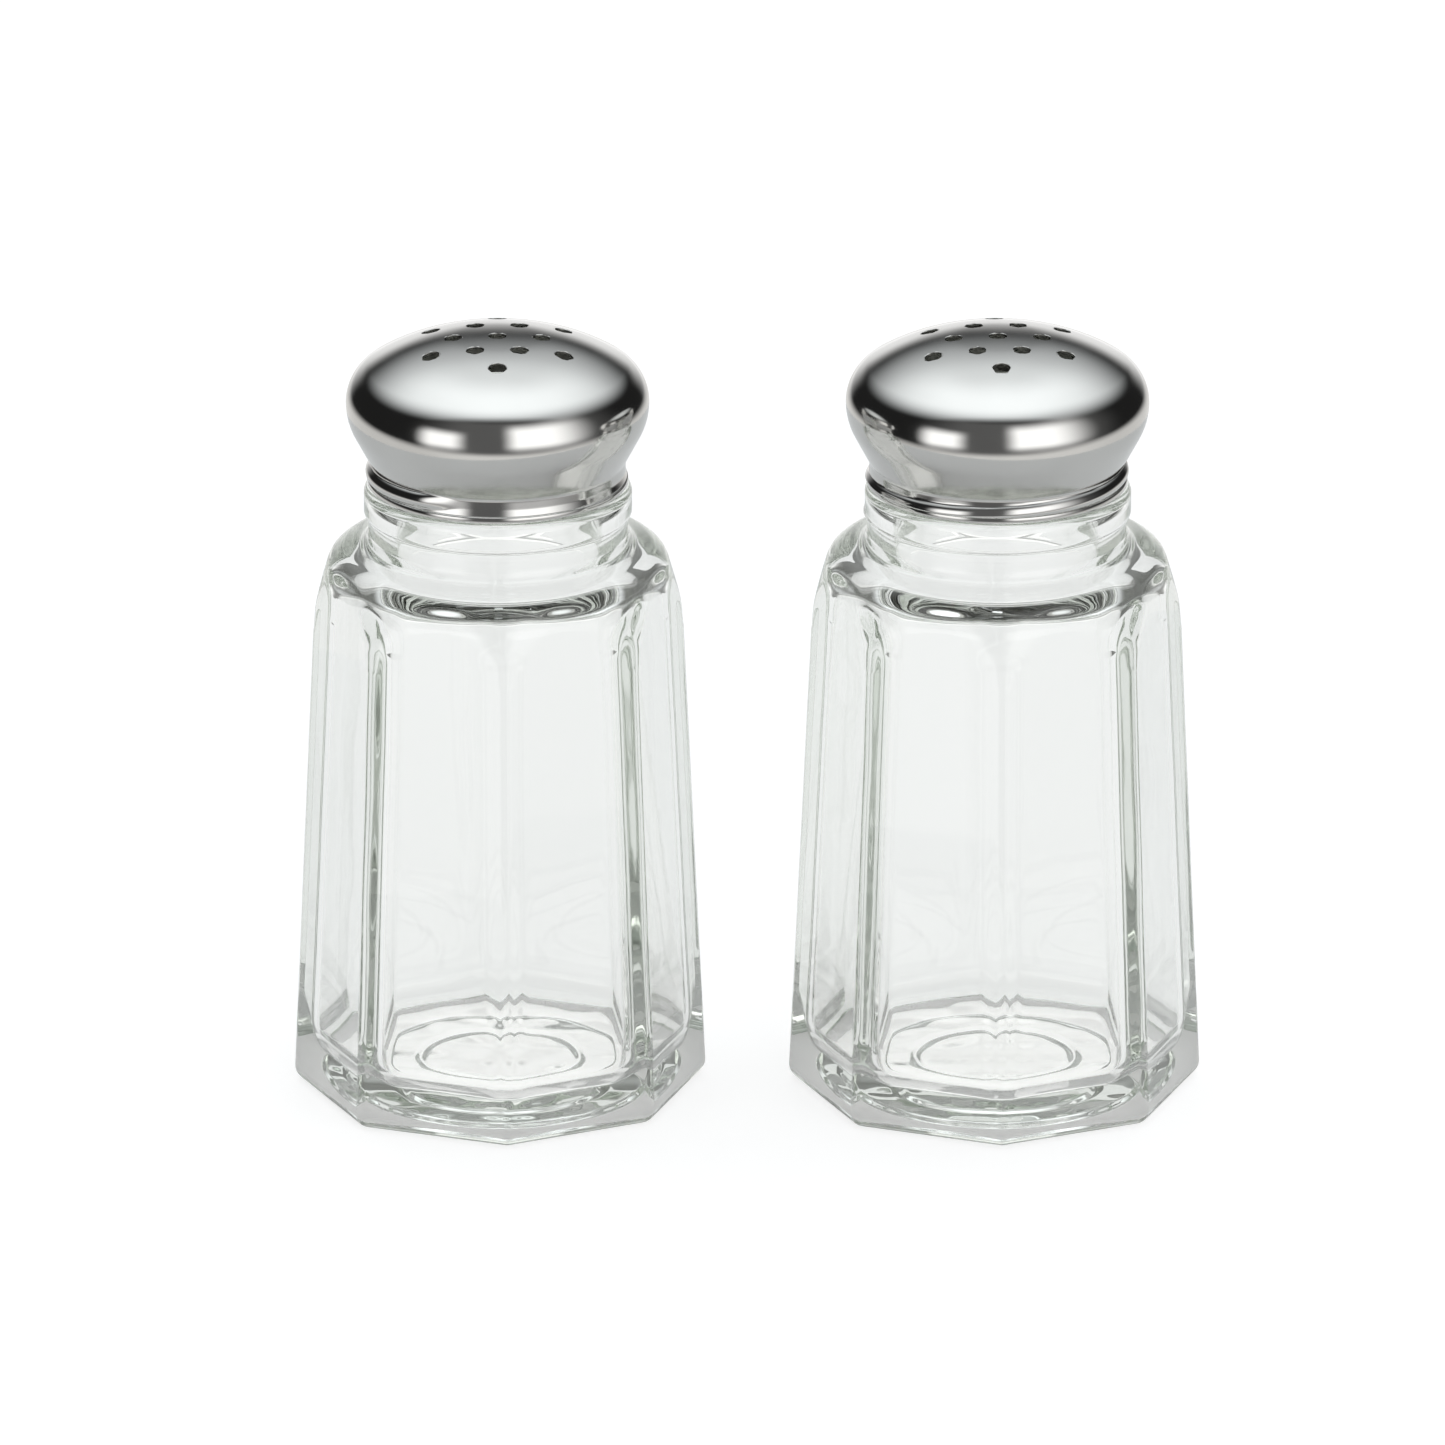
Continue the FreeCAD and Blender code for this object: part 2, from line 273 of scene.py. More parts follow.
def jar_outside(angles, crest_angle):
    """Rows of (r, z) from the middle of the base out, up and over the lip to the bore."""
    ones = np.ones(len(angles))
    rows = []
    hollow = rounded_outline([
        (0.4, HOLLOW_DEPTH, 0),
        (HOLLOW_R - HOLLOW_DEPTH, HOLLOW_DEPTH, 0.5),
        (HOLLOW_R, 0, 0.3),
        (HOLLOW_R + 0.4, 0, 0),
    ], 0.22, 0.12)
    rows += [(ones * r, ones * z) for r, z in hollow]
    heel = octagon_radius(angles, BASE_CORNER, CORNER_ROUND, HEEL_ROUND)
    for share in np.linspace(0.15, 0.9, 6):
        rows.append(((HOLLOW_R + 0.4) * (1 - share) + heel * share, ones * 0))
    for turn in np.linspace(0, math.pi / 2, 10):
        z = HEEL_ROUND * (1 - math.cos(turn))
        inset = HEEL_ROUND * (1 - math.sin(turn))
        rows.append((octagon_radius(angles, corner_at(z), CORNER_ROUND, inset), ones * z))
    for z in np.linspace(HEEL_ROUND, 58, 36)[1:]:
        rows.append((octagon_radius(angles, corner_at(z), CORNER_ROUND), ones * z))
    above = rounded_outline([
        (BASE_CORNER, 58.5, 0),
        (corner_at(60), 60.0, 0),
        (*LOWER_BEND, LOWER_BEND_ROUND),
        (*UPPER_BEND, UPPER_BEND_ROUND),
        (NECK_R, NECK_FOOT_Z, NECK_ROUND),
        (NECK_R, RING_BOTTOM_Z, 0.5),
        (RING_R, RING_BOTTOM_Z, 0.15),
        (RING_R, RING_TOP_Z, 1.0),
        (FINISH_R, RING_TOP_Z, 0.3),
        (FINISH_R, LIP_Z, 1.1),
        (BORE_R + 0.9, LIP_Z, 0.8),
        (BORE_R, LIP_Z - 1.2, 0.8),
        (BORE_R, BORE_BOTTOM_Z + 2.5, 0),
    ], 0.45, 0.16)
    for r, z in above:
        row = ones * r
        if z < RING_BOTTOM_Z:
            row = soft_min(row, octagon_radius(angles, corner_at(z), CORNER_ROUND), ARCH_BLEND)
        elif r > FINISH_R - 0.01 and z < LIP_Z - 3:
            row = row + thread_bulge(angles, crest_angle, RIDGE_SPAN, z,
                                     RIDGE_CENTRE_R, RIDGE, FINISH_R)
        rows.append((row, ones * z))
    return rows


def jar_inside(angles):
    """Rows of (r, z) from the bore down the inside to the middle of the floor."""
    ones = np.ones(len(angles))
    rows = []
    inner_r = inner_corner_at(INNER_SHOULDER_Z)
    shoulder = rounded_outline([
        (BORE_R, BORE_BOTTOM_Z + 2.4, 0),
        (BORE_R, BORE_BOTTOM_Z, 1.6),
        (inner_r, INNER_SHOULDER_Z, INNER_KNUCKLE_ROUND),
        (inner_r + 0.1, INNER_SHOULDER_Z - 4.2, 0),
        (inner_r + 3, INNER_SHOULDER_Z - 8, 0),
    ], 0.5, 0.25)
    for r, z in shoulder:
        wall = octagon_radius(angles, inner_corner_at(z), INNER_ROUND)
        rows.append((soft_min(ones * r, wall, 1.2), ones * z))
    fillet_top = FLOOR_Z + FLOOR_ROUND
    for z in np.linspace(INNER_SHOULDER_Z - 8, fillet_top, 40)[1:]:
        rows.append((octagon_radius(angles, inner_corner_at(z), INNER_ROUND), ones * z))
    for turn in np.linspace(0, math.pi / 2, 12)[1:]:
        z = fillet_top - FLOOR_ROUND * math.sin(turn)
        inset = FLOOR_ROUND * (1 - math.cos(turn))
        rows.append((octagon_radius(angles, inner_corner_at(z), INNER_ROUND, inset), ones * z))
    edge = rows[-1][0]
    for share in np.linspace(0.93, 0.06, 22):
        round_share = (1 - share) ** 0.7
        rows.append((share * (edge * (1 - round_share) + edge.mean() * round_share), ones * FLOOR_Z))
    return rows


def glass_jar(name, centre_x, turn, crest_angle, material, seed):
    """The jar as one closed skin: outside, lip and inside."""
    angles = octagon_angles()
    crest = crest_angle - turn
    outside = jar_outside(angles, crest)
    inside = jar_inside(angles)
    rows = outside + inside
    around = len(angles)
    world = angles + math.radians(turn)
    r = np.concatenate([row[0] for row in rows])
    z = np.concatenate([row[1] for row in rows])
    a = np.tile(world, len(rows))
    points = np.stack([r * np.cos(a), r * np.sin(a), z], axis=1)
    is_inside = np.arange(len(points)) >= len(outside) * around
    body = np.clip((66 - z) / 8, 0, 1)
    low = np.clip((12 - z) / 8, 0, 1)
    wave = waviness(points, WAVE_SIZE, seed)
    fine = waviness(points, RIPPLE_SIZE, seed + 3)
    inner_push = INSIDE_WAVE * wave * body + INSIDE_RIPPLE * fine * low
    push = np.where(is_inside, inner_push, OUTSIDE_WAVE * (wave - 1) * body)
    outward = np.stack([np.cos(a), np.sin(a), np.zeros(len(a))], axis=1)
    points += outward * (push * np.clip(r / 6, 0, 1))[:, None]
    on_floor = is_inside & (z < FLOOR_Z + 0.01)
    points[:, 2] += np.where(on_floor, FLOOR_RIPPLE * fine, 0)
    hollow = (~is_inside) & (r < HOLLOW_R - 0.6) & (z > 0.3) & (z < 1)
    mark = np.exp(-((r - MOULD_MARK_R) / MOULD_MARK_WIDTH) ** 2) * (0.36 + 0.18 * fine)
    points[:, 2] += np.where(hollow, HOLLOW_RIPPLE * fine - mark, 0)
    first = len(points)
    ends = np.array([[0, 0, points[:around, 2].mean()], [0, 0, points[-around:, 2].mean()]])
    points = np.concatenate([points, ends])
    points[:, 0] += centre_x
    faces = ring_faces(len(rows), around)
    last_row = (len(rows) - 1) * around
    for j in range(around):
        k = (j + 1) % around
        faces.append((first, k, j))
        faces.append((first + 1, last_row + j, last_row + k))
    return make_object(name, points, faces, material)


# ---------------------------------------------------------------- steel cap

def cap_profile():
    """Outside of the cap from the perforated middle to the bottom edge, as (r, z, nr, nz)."""
    crown = (0.0, APEX_Z - CROWN_R)
    join = math.acos(CROWN_FLAT / CROWN_R)
    step = CROWN_R - CROWN_OUTER_R
    outer = (step * math.cos(join), crown[1] + step * math.sin(join))
    brow_r = WIDE_R - BROW_ROUND
    reach = CROWN_OUTER_R - BROW_ROUND
    brow_z = outer[1] + math.sqrt(reach ** 2 - (brow_r - outer[0]) ** 2)
    brow = math.atan2(brow_z - outer[1], brow_r - outer[0])
    flank = math.radians(FLANK_ANGLE)
    bell_r = WIDE_R - BELL_ROUND
    flank_top = (bell_r + BELL_ROUND * math.cos(flank), brow_z - BELL_ROUND * math.sin(flank))
    skirt_r = SKIRT_R + SKIRT_ROUND
    drop = (flank_top[0] - skirt_r + SKIRT_ROUND * math.cos(flank)) / math.tan(flank)
    skirt_z = flank_top[1] - drop - SKIRT_ROUND * math.sin(flank)
    parts = [
        arc_points(crown, CROWN_R, math.pi / 2, join, 0.3),
        arc_points(outer, CROWN_OUTER_R, join, brow, 0.3),
        arc_points((brow_r, brow_z), BROW_ROUND, brow, 0, 0.16),
        arc_points((bell_r, brow_z), BELL_ROUND, 0, -flank, 0.2),
    ]
    bend = [(skirt_r + SKIRT_ROUND * math.cos(a), skirt_z + SKIRT_ROUND * math.sin(a))
            for a in np.linspace(math.pi - flank, math.pi, 9)]
    lower = rounded_outline([
        (*parts[-1][-1], 0),
        (*bend[0], 0),
        *[(*p, 0) for p in bend[1:-1]],
        (*bend[-1], 0),
        (SKIRT_R, FLARE_Z, 0.8),
        (FLARE_R, CAP_BOTTOM_Z, 0),
    ], 0.18, 0.15)
    points = []
    for part in parts + [list(map(tuple, lower))]:
        points += part if not points else part[1:]
    points = np.array(points)
    along = np.gradient(points, axis=0)
    along /= np.linalg.norm(along, axis=1)[:, None]
    return np.column_stack([points, -along[:, 1], along[:, 0]])


def profile_at(profile, radius):
    """Height and outward normal of the crown at a distance from the axis."""
    upto = int(np.argmax(profile[:, 0]))
    rising = profile[:upto]
    z = np.interp(radius, rising[:, 0], rising[:, 1])
    nr = np.interp(radius, rising[:, 0], rising[:, 2])
    return z, nr, np.sqrt(1 - nr ** 2)


def hole_places(turn):
    """Centre hole, six around it, and six more in the gaps of the star."""
    places = [(0.0, 0.0)]
    for i in range(6):
        near = math.radians(60 * i + turn)
        far = math.radians(60 * i + 30 + turn)
        places.append((HOLE_PITCH * math.cos(near), HOLE_PITCH * math.sin(near)))
        wide = HOLE_PITCH * math.sqrt(3)
        places.append((wide * math.cos(far), wide * math.sin(far)))
    return places


def crown_net(around, holes):
    """Flat triangle net of the disc of radius NET_R with its holes: points, triangles, hole loops."""
    grid = 0.5
    hole_points = 36
    edge = HOLE_R + HOLE_EDGE
    flat = [Vector((NET_R * math.cos(a), NET_R * math.sin(a)))
            for a in np.linspace(0, 2 * math.pi, around, endpoint=False)]
    edges = [(j, (j + 1) % around) for j in range(around)]
    loops = []
    for x, y in holes:
        start = len(flat)
        for extra in (0.0, 0.17, 0.4):
            for a in np.linspace(0, 2 * math.pi, hole_points, endpoint=False):
                away = edge + extra
                flat.append(Vector((x + away * math.cos(a), y + away * math.sin(a))))
        loops.append(list(range(start, start + hole_points)))
        edges += [(start + j, start + (j + 1) % hole_points) for j in range(hole_points)]
    for inset in (0.32, 0.7):
        flat += [Vector(((NET_R - inset) * math.cos(a), (NET_R - inset) * math.sin(a)))
                 for a in np.linspace(0, 2 * math.pi, around // 2, endpoint=False)]
    count = int(NET_R / grid) + 2
    for i in range(-count, count + 1):
        for j in range(-count, count + 1):
            x = (i + 0.5 * (j % 2)) * grid
            y = j * grid * math.sqrt(3) / 2
            if math.hypot(x, y) > NET_R - 1.05:
                continue
            if all(math.hypot(x - hx, y - hy) > edge + 0.65 for hx, hy in holes):
                flat.append(Vector((x, y)))
    verts, _, tris, origins, _, _ = geometry.delaunay_2d_cdt(flat, edges, [], 0, 1e-7)
    back = {i: source[0] for i, source in enumerate(origins) if source}
    kept = []
    for tri in tris:
        middle = sum((verts[i] for i in tri), Vector((0, 0))) / 3
        if any(math.hypot(middle.x - hx, middle.y - hy) < HOLE_R for hx, hy in holes):
            continue
        corners = [back[i] for i in tri]
        a, b, c = (flat[i] for i in corners)
        if (b - a).cross(c - a) < 0:
            corners.reverse()
        kept.append(tuple(corners))
    return np.array([tuple(p) for p in flat]), kept, loops


def steel_cap(name, centre_x, hole_turn, crest_angle, material):
    """The cap as one closed skin of sheet metal, with punched holes."""
    around = CAP_AROUND
    profile = cap_profile()
    angles = np.linspace(0, 2 * math.pi, around, endpoint=False)
    flat, tris, loops = crown_net(around, hole_places(hole_turn))
    distance = np.hypot(flat[:, 0], flat[:, 1])
    z, nr, nz = profile_at(profile, distance)
    away = flat / np.maximum(distance, 1e-9)[:, None]
    crown_normals = np.column_stack([away * nr[:, None], nz])
    top = np.column_stack([flat, z])
    under = top - crown_normals * METAL
    points = [top, under]
    inside = [np.zeros(len(top)), np.ones(len(under))]
    normals = {i: crown_normals[i] for i in range(len(top))}
    count = len(top)
    faces = list(tris)
    faces += [tuple(count + i for i in reversed(tri)) for tri in tris]
    total = 2 * count
    for loop in loops:
        middle = top[loop].mean(axis=0)
        low = under[loop]
        previous = loop
        for inward, share in ((0.035, 0.0), (0.085, 0.0), (HOLE_EDGE, 0.35), (HOLE_EDGE, 0.75)):
            spread = 1 - inward / (HOLE_R + HOLE_EDGE)
            ring = top[loop].copy()
            ring[:, :2] = middle[:2] + (ring[:, :2] - middle[:2]) * spread
            if share == 0:
                depth = HOLE_EDGE - math.sqrt(max(HOLE_EDGE ** 2 - inward ** 2, 0))
            else:
                depth = METAL * share
            ring[:, 2] = top[loop][:, 2] - depth
            points.append(ring)
            inside.append(np.full(len(loop), float(share > 0)))
            here = list(range(total, total + len(loop)))
            total += len(loop)
            for j in range(len(loop)):
                k = (j + 1) % len(loop)
                faces.append((previous[j], here[j], here[k], previous[k]))
            previous = here
        bottom = [count + i for i in loop]
        for j in range(len(loop)):
            k = (j + 1) % len(loop)
            faces.append((previous[j], bottom[j], bottom[k], previous[k]))
    first_low = int(np.argmax(profile[:, 0] > NET_R + 0.15))
    outer = profile[first_low:]
    ring_outer = list(range(around))
    ring_inner = [count + j for j in range(around)]
    for inner_side in (False, True):
        previous = ring_inner if inner_side else ring_outer
        for r, height, n_r, n_z in outer:
            bulge = thread_bulge(angles, crest_angle, BEAD_SPAN, height,
                                 BEAD_CENTRE_R, BEAD, SKIRT_R)
            bulge = np.maximum(bulge - max(r - SKIRT_R, 0), 0) if height < 85 else bulge * 0
            radius = r + bulge
            level = np.full(around, height)
            if inner_side:
                radius = radius - n_r * METAL
                level = np.maximum(level - n_z * METAL, CAP_BOTTOM_Z)
            points.append(np.column_stack([radius * np.cos(angles), radius * np.sin(angles), level]))
            inside.append(np.full(around, float(inner_side)))
            here = list(range(total, total + around))
            total += around
            for j in range(around):
                k = (j + 1) % around
                quad = (previous[j], here[j], here[k], previous[k])
                faces.append(quad[::-1] if inner_side else quad)
            previous = here
        if inner_side:
            ring_inner = previous
        else:
            ring_outer = previous
    for j in range(around):
        k = (j + 1) % around
        faces.append((ring_outer[j], ring_inner[j], ring_inner[k], ring_outer[k]))
    points = np.concatenate(points)
    points[:, 0] += centre_x
    obj = make_object(name, points, faces, material)
    mesh = obj.data
    mark = mesh.attributes.new(INSIDE_MARK, "FLOAT", "POINT")
    mark.data.foreach_set("value", np.concatenate(inside).astype(np.float32))
    smooth = [tuple(v.normal) for v in mesh.vertices]
    for i, normal in normals.items():
        smooth[i] = tuple(normal)
    mesh.normals_split_custom_set_from_vertices(smooth)
    return obj


def cap_rim(name, centre_x, material):
    """The rolled edge along the bottom of the cap."""
    around = CAP_AROUND
    turns = 20
    middle_r = (RIM_INNER_R + RIM_OUTER_R) / 2
    middle_z = (RIM_BOTTOM_Z + RIM_TOP_Z) / 2
    half_r = (RIM_OUTER_R - RIM_INNER_R) / 2
    half_z = (RIM_TOP_Z - RIM_BOTTOM_Z) / 2
    angles = np.linspace(0, 2 * math.pi, around, endpoint=False)
    points = []
    for t in np.linspace(0, 2 * math.pi, turns, endpoint=False):
        r = middle_r + half_r * math.copysign(abs(math.cos(t)) ** 0.7, math.cos(t))
        z = middle_z + half_z * math.copysign(abs(math.sin(t)) ** 0.7, math.sin(t))
        points.append(np.column_stack([r * np.cos(angles), r * np.sin(angles), np.full(around, z)]))
    points = np.concatenate(points)
    points[:, 0] += centre_x
    faces = []
    for i in range(turns):
        for j in range(around):
            k = (j + 1) % around
            n = (i + 1) % turns
            faces.append((i * around + j, i * around + k, n * around + k, n * around + j))
    return make_object(name, points, faces, material)


# ---------------------------------------------------------------- materials

class Formula:
    """Arithmetic on shader sockets, written with ordinary operators."""

    def __init__(self, tree, value):
        self.tree = tree
        self.value = value

    def node(self, kind, other=None):
        node = self.tree.nodes.new("ShaderNodeMath")
        node.operation = kind
        for socket, item in zip(node.inputs, (self, other)):
            if isinstance(item, Formula):
                self.tree.links.new(item.value, socket)
            elif item is not None:
                socket.default_value = item
        return Formula(self.tree, node.outputs[0])

    def __add__(self, other):
        return self.node("ADD", other)

    def __sub__(self, other):
        return self.node("SUBTRACT", other)

    def __mul__(self, other):
        return self.node("MULTIPLY", other)

    def at_least(self, other):
        return self.node("MAXIMUM", other)

    def rise(self, low, high):
        """0 below low, 1 above high, and smooth between; each is a number or a formula."""
        node = self.tree.nodes.new("ShaderNodeMapRange")
        node.interpolation_type = "SMOOTHSTEP"
        for name, item in (("Value", self), ("From Min", low), ("From Max", high)):
            if isinstance(item, Formula):
                self.tree.links.new(item.value, node.inputs[name])
            else:
                node.inputs[name].default_value = item
        return Formula(self.tree, node.outputs["Result"])

    def fall(self, low, high):
        return self.rise(low, high) * -1.0 + 1.0

    def between(self, low, low_full, high_full, high):
        return self.rise(low, low_full) * self.fall(high_full, high)


def new_material(name):
    material = bpy.data.materials.new(name)
    material.use_nodes = True
    tree = material.node_tree
    shader = tree.nodes["Principled BSDF"]
    coords = tree.nodes.new("ShaderNodeTexCoord")
    return material, tree, shader, coords.outputs["Object"]


def noise_node(tree, coords, size_mm, detail, seed=0.0):
    node = tree.nodes.new("ShaderNodeTexNoise")
    node.inputs["Scale"].default_value = 1 / (size_mm * MM)
    node.inputs["Detail"].default_value = detail
    if seed:
        shift = tree.nodes.new("ShaderNodeVectorMath")
        shift.operation = "ADD"
        shift.inputs[1].default_value = (seed, seed, seed)
        tree.links.new(coords, shift.inputs[0])
        coords = shift.outputs[0]
    tree.links.new(coords, node.inputs["Vector"])
    return node.outputs["Fac"]


def mapped(tree, value, low, high, from_low=0.3, from_high=0.7):
    node = tree.nodes.new("ShaderNodeMapRange")
    node.inputs["From Min"].default_value = from_low
    node.inputs["From Max"].default_value = from_high
    node.inputs["To Min"].default_value = low
    node.inputs["To Max"].default_value = high
    tree.links.new(value, node.inputs["Value"])
    return node.outputs["Result"]


def bump(tree, height, strength, distance_mm, onto=None):
    node = tree.nodes.new("ShaderNodeBump")
    node.inputs["Strength"].default_value = strength
    node.inputs["Distance"].default_value = distance_mm * MM
    tree.links.new(height, node.inputs["Height"])
    if onto is not None:
        tree.links.new(onto, node.inputs["Normal"])
    return node.outputs["Normal"]


def mixed(tree, factor, first, second):
    """Colour between two others; each is a colour or a socket."""
    node = tree.nodes.new("ShaderNodeMix")
    node.data_type = "RGBA"
    tree.links.new(factor, node.inputs[0])
    for socket, item in ((node.inputs[6], first), (node.inputs[7], second)):
        if isinstance(item, tuple):
            socket.default_value = (*item, 1)
        else:
            tree.links.new(item, socket)
    return node.outputs[2]


def pressed_glass():
    """Clear soda glass, fire polished, with faint waves; it absorbs more where it is thick."""
    material, tree, shader, coords = new_material("pressed_glass")
    shader.inputs["Transmission Weight"].default_value = 1.0
    shader.inputs["IOR"].default_value = 1.51
    tint = mixed(tree, noise_node(tree, coords, 20, 2), (1.0, 1.0, 0.998), (0.992, 0.996, 0.988))
    tree.links.new(tint, shader.inputs["Base Color"])
    haze = mapped(tree, noise_node(tree, coords, 6, 3, 1.7), 0.0, 0.03)
    tree.links.new(haze, shader.inputs["Roughness"])
    tree.links.new(bump(tree, noise_node(tree, coords, 7, 2, 0.4), 0.25, 0.05), shader.inputs["Normal"])
    depth = tree.nodes.new("ShaderNodeVolumeAbsorption")
    depth.inputs["Color"].default_value = (*GLASS_DEPTH_COLOUR, 1)
    depth.inputs["Density"].default_value = GLASS_DEPTH_DENSITY
    tree.links.new(depth.outputs[0], tree.nodes["Material Output"].inputs["Volume"])
    return material


def polished_steel():
    """Mirror-polished stainless steel with a fine haze; its inside is dull, with shade painted into its
    colour as a dark grey.
    """
    material, tree, shader, coords = new_material("polished_steel")
    shader.inputs["Metallic"].default_value = 1.0
    inside = tree.nodes.new("ShaderNodeAttribute")
    inside.attribute_name = INSIDE_MARK
    tone = mixed(tree, noise_node(tree, coords, 9, 3), (0.54, 0.535, 0.52), (0.60, 0.595, 0.58))
    # painted shade: the inner skin gets a dark grey in place of the steel's own tone
    colour = mixed(tree, inside.outputs["Fac"], tone, (0.20, 0.20, 0.18))
    tree.links.new(colour, shader.inputs["Base Color"])
    haze = mapped(tree, noise_node(tree, coords, 4, 4, 2.3), 0.075, 0.125)
    dull = Formula(tree, inside.outputs["Fac"]) * 0.4 + Formula(tree, haze)
    tree.links.new(dull.value, shader.inputs["Roughness"])
    hair = tree.nodes.new("ShaderNodeMapping")
    hair.inputs["Scale"].default_value = (1, 1, 14)
    tree.links.new(coords, hair.inputs["Vector"])
    marks = noise_node(tree, hair.outputs["Vector"], 1.6, 3)
    tree.links.new(bump(tree, marks, 0.05, 0.01), shader.inputs["Normal"])
    return material


# ---------------------------------------------------------------- studio

FLOOR_SIZE = 3200.0
MAT_SIZE = 200.0               # the part of the floor that the polished steel mirrors
AXIS_X = 30.95                 # from the middle to the axis of each jar
PAINTED_POOL_FADE = (12.0, 26.0)        # the painted pool of light on the floor fades between these distances from a jar's axis
VIEW_ELEVATION = 20.0
VIEW_DISTANCE = 2.4
FIELD = 0.180                  # width of the picture at the shakers
AIM = (-0.0031, 0.0, 0.0471)
SENSOR = 36.0
GLASS_FILL = 0.15              # least light that comes through the glass from the room
LIGHT_BOUNCES = 24


def disc(name, centre_y, size, level, material):
    """Flat round sheet on the floor, finer towards its middle."""
    rings = 20
    around = 64
    radii = size * (np.arange(1, rings + 1) / rings) ** 2
    angles = np.linspace(0, 2 * math.pi, around, endpoint=False)
    rows = [np.column_stack([r * np.cos(angles), r * np.sin(angles) + centre_y, np.full(around, level)])
            for r in radii[::-1]]
    points = np.concatenate(rows + [np.array([[0, centre_y, level]])])
    centre = len(points) - 1
    last_row = (rings - 1) * around
    faces = ring_faces(rings, around)
    faces += [(last_row + j, last_row + (j + 1) % around, centre) for j in range(around)]
    obj = make_object(name, points, faces, material)
    return obj


def floor_material(name, reflectance, glow, painted_pool=0.0):
    """Matt pale acrylic, lit softly from below as on a light table, with a painted pool of light under
    the jars.
    """
    material, tree, shader, coords = new_material(name)
    tone = mixed(tree, noise_node(tree, coords, 60, 2), (reflectance,) * 3, (reflectance + 0.01,) * 3)
    tree.links.new(tone, shader.inputs["Base Color"])
    shader.inputs["Roughness"].default_value = 0.9
    shader.inputs["Specular IOR Level"].default_value = 0.0
    shader.inputs["Emission Color"].default_value = (1.0, 1.0, 1.0, 1)
    split = tree.nodes.new("ShaderNodeSeparateXYZ")
    tree.links.new(coords, split.inputs[0])
    x, y = (Formula(tree, split.outputs[axis]) for axis in "XY")
    aside = x.node("ABSOLUTE") - AXIS_X * MM
    near = (aside * aside + y * y).node("SQRT").fall(PAINTED_POOL_FADE[0] * MM, PAINTED_POOL_FADE[1] * MM)
    # painted pool of light: extra glow on the floor near each jar's axis
    strength = near * painted_pool + glow
    tree.links.new(strength.value, shader.inputs["Emission Strength"])
    material.cycles.emission_sampling = "NONE"
    return material


def studio_floor():
    """Pale floor in three layers: what the camera sees, what shows in the glass, and in the steel."""
    seen = disc("studio_floor", 0.0, FLOOR_SIZE, 0.0, floor_material("studio_floor", 0.36, 0.76))
    seen.visible_glossy = False
    seen.visible_transmission = False
    seen.visible_diffuse = False
    seen.visible_shadow = False
    # painted pool of light under the jars, in the floor layer that the glass shows
    bright = floor_material("studio_table", 0.36, 0.61, 0.34)
    through = disc("studio_table", 0.0, FLOOR_SIZE, -0.1, bright)
    through.visible_camera = False
    through.visible_glossy = False
    through.visible_shadow = False
    mat = disc("studio_mat", 60.0, MAT_SIZE, 0.0, floor_material("studio_mat", 0.80, 0.05))
    mat.visible_camera = False
    mat.visible_diffuse = False
    mat.visible_transmission = False
    mat.visible_shadow = False


def glow(tree, strength, colour):
    node = tree.nodes.new("ShaderNodeBackground")
    node.inputs["Color"].default_value = (*colour, 1)
    if isinstance(strength, Formula):
        tree.links.new(strength.value, node.inputs["Strength"])
    else:
        node.inputs["Strength"].default_value = strength
    return node.outputs[0]


def joined(tree, kind, first, second):
    node = tree.nodes.new(kind)
    shaders = [socket for socket in node.inputs if socket.type == "SHADER"]
    tree.links.new(first, shaders[0])
    tree.links.new(second, shaders[1])
    return node


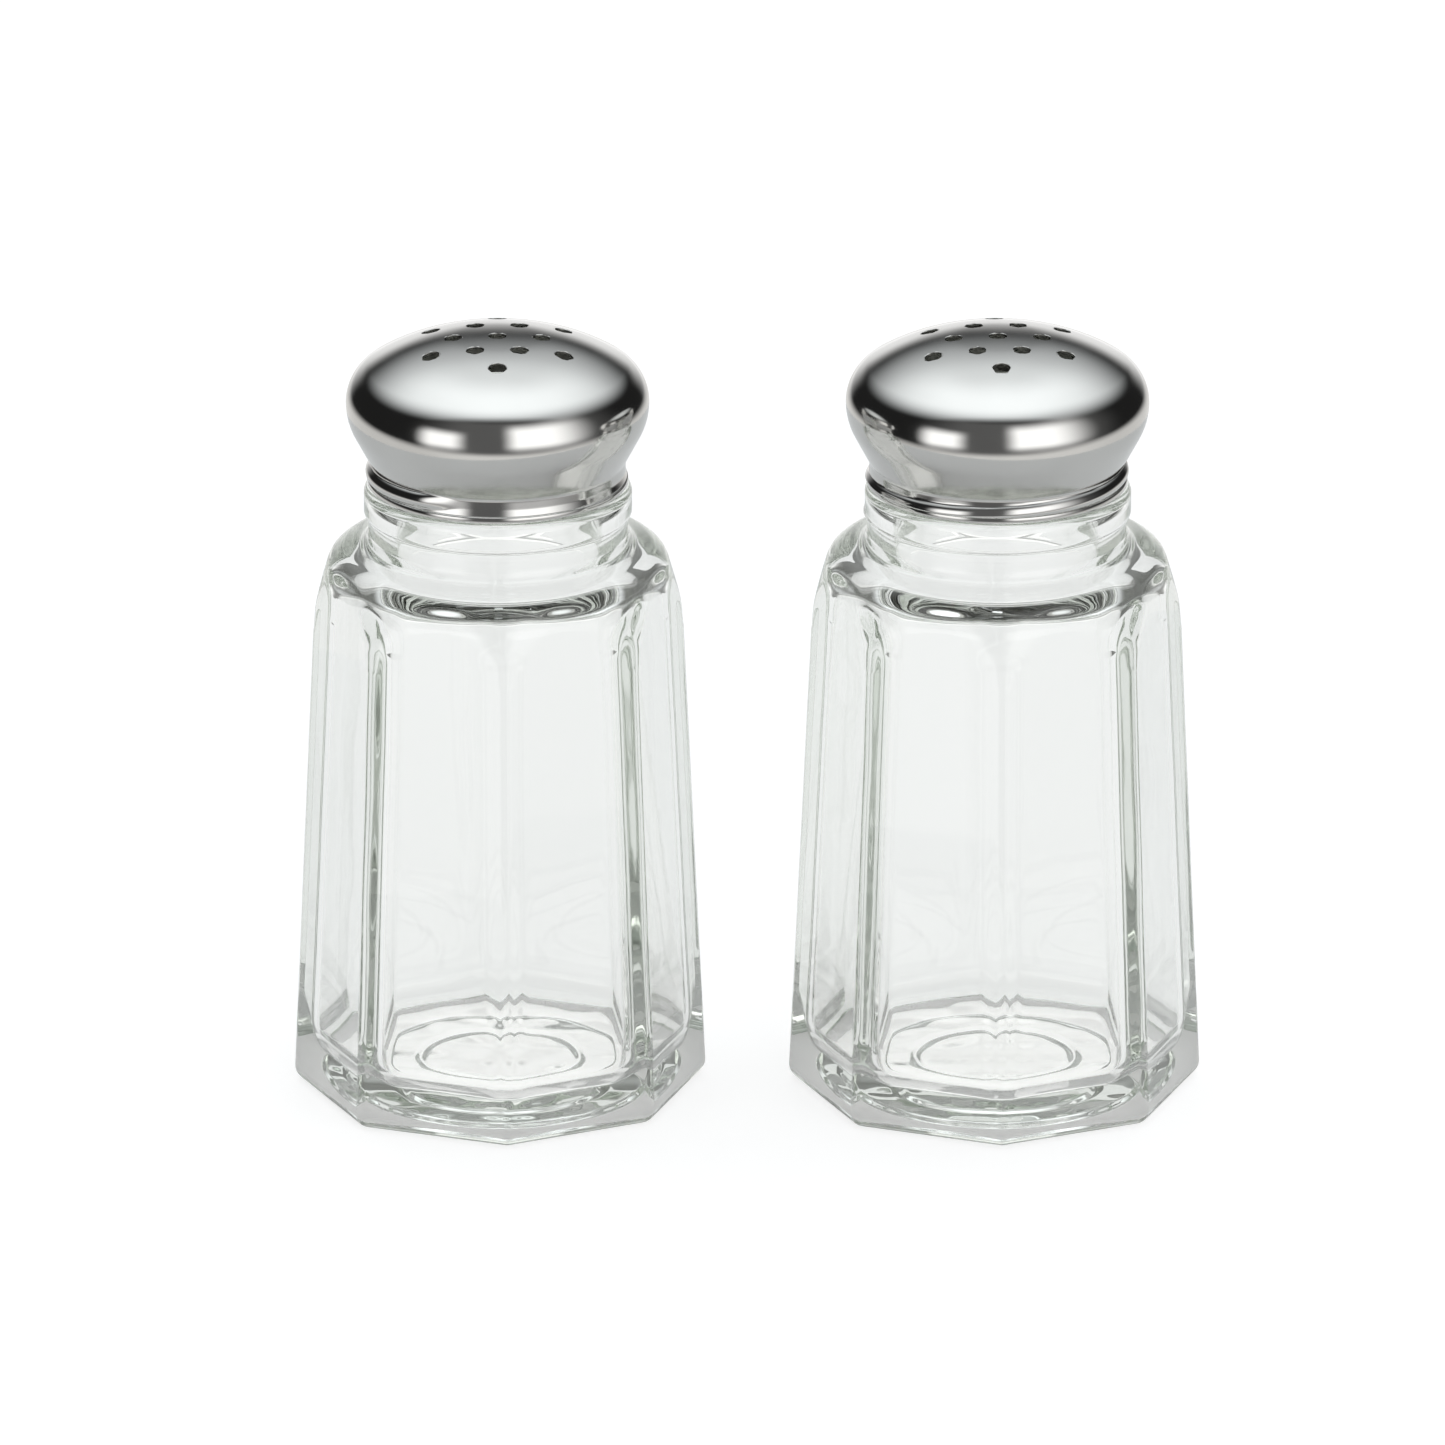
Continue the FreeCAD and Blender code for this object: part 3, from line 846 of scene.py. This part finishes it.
def studio_light():
    """Soft light overhead, a screen behind, two lights in front, in a dark room.

    The camera itself sees white behind the shakers. Light that comes through the glass
    is a little stronger than the room's.
    """
    world = bpy.data.worlds.new("studio")
    bpy.context.scene.world = world
    world.use_nodes = True
    tree = world.node_tree
    tree.nodes.clear()
    coords = tree.nodes.new("ShaderNodeTexCoord")
    split = tree.nodes.new("ShaderNodeSeparateXYZ")
    tree.links.new(coords.outputs["Generated"], split.inputs[0])
    x, y, z = (Formula(tree, split.outputs[axis]) for axis in "XYZ")
    degrees = 180 / math.pi
    elevation = z.node("ARCSINE") * degrees
    azimuth = x.node("ARCTAN2", y * -1.0) * degrees

    tilt = math.radians(14)
    towards = y * math.sin(tilt) + z * math.cos(tilt)
    towards = towards - (y * -1.0 - 0.34).at_least(0.0) * 0.5
    back = azimuth.node("ABSOLUTE").rise(140, 172)
    overhead = towards.rise(0.46, 1.02) * (back * elevation.between(22, 40, 56, 78) * -0.27 + 1.0) * 1.75
    screen = back * elevation.between(-14, -6, 4, 19) * 1.04
    left = azimuth.between(-66, -50, -36, -20) * elevation.between(-28, -8, 8, 30)
    right = azimuth.between(2, 18, 38, 84) * elevation.between(-28, -6, 24, 52)
    spill = azimuth.between(-75, -25, 60, 110) * elevation.fall(45, 60)
    lamps = left * 1.75 + right * 1.75 + spill * 0.13 + screen + 0.02
    edge = y * 10.0 - 19.0
    ground = elevation.fall(edge - 6.0, edge + 6.0) * 0.86

    room = joined(tree, "ShaderNodeAddShader", glow(tree, overhead, (0.94, 0.98, 1.0)),
                  glow(tree, lamps, (1.0, 1.0, 1.0)))
    room = joined(tree, "ShaderNodeAddShader", room.outputs[0], glow(tree, ground, (1.0, 0.99, 0.97)))
    rays = tree.nodes.new("ShaderNodeLightPath")
    through = Formula(tree, rays.outputs["Is Transmission Ray"])
    fill = glow(tree, through * elevation.rise(-10, 0) * GLASS_FILL, (0.98, 1.0, 0.95))
    room = joined(tree, "ShaderNodeAddShader", room.outputs[0], fill)
    choice = joined(tree, "ShaderNodeMixShader", room.outputs[0], glow(tree, 1.03, (1.0, 1.0, 1.0)))
    tree.links.new(rays.outputs["Is Camera Ray"], choice.inputs[0])
    output = tree.nodes.new("ShaderNodeOutputWorld")
    tree.links.new(choice.outputs[0], output.inputs["Surface"])


def studio_camera():
    """Long lens in front of the shakers and a little above them."""
    data = bpy.data.cameras.new("camera")
    data.sensor_width = SENSOR
    data.lens = SENSOR * VIEW_DISTANCE / FIELD
    data.clip_end = 100
    camera = bpy.data.objects.new("camera", data)
    bpy.context.scene.collection.objects.link(camera)
    rise = math.radians(VIEW_ELEVATION)
    aim = Vector(AIM)
    camera.location = aim + Vector((0, -math.cos(rise), math.sin(rise))) * VIEW_DISTANCE
    camera.rotation_euler = (aim - camera.location).to_track_quat("-Z", "Y").to_euler()
    bpy.context.scene.camera = camera


def build():
    scene = bpy.context.scene
    scene.view_settings.view_transform = "Standard"
    scene.cycles.max_bounces = LIGHT_BOUNCES       # light piped along the glass finds its way out
    scene.cycles.glossy_bounces = LIGHT_BOUNCES
    scene.cycles.transmission_bounces = LIGHT_BOUNCES
    glass = pressed_glass()
    steel = polished_steel()
    for seed, (name, (turn, hole_turn, crest_angle)) in enumerate(SHAKERS.items()):
        low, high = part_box(name + "_cap")
        centre_x = (low[0] + high[0]) / 2 / MM
        jar = glass_jar(name + "_glass", centre_x, turn, crest_angle, glass, seed + 1)
        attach(jar, name + "_jar")
        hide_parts(name + "_jar")
        cap = steel_cap(name + "_cap_shell", centre_x, hole_turn, crest_angle, steel)
        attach(cap, name + "_cap")
        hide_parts(name + "_cap")
        rim = cap_rim(name + "_cap_edge", centre_x, steel)
        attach(rim, name + "_rim")
        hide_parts(name + "_cap_rim")
    studio_floor()
    studio_light()
    studio_camera()


build()
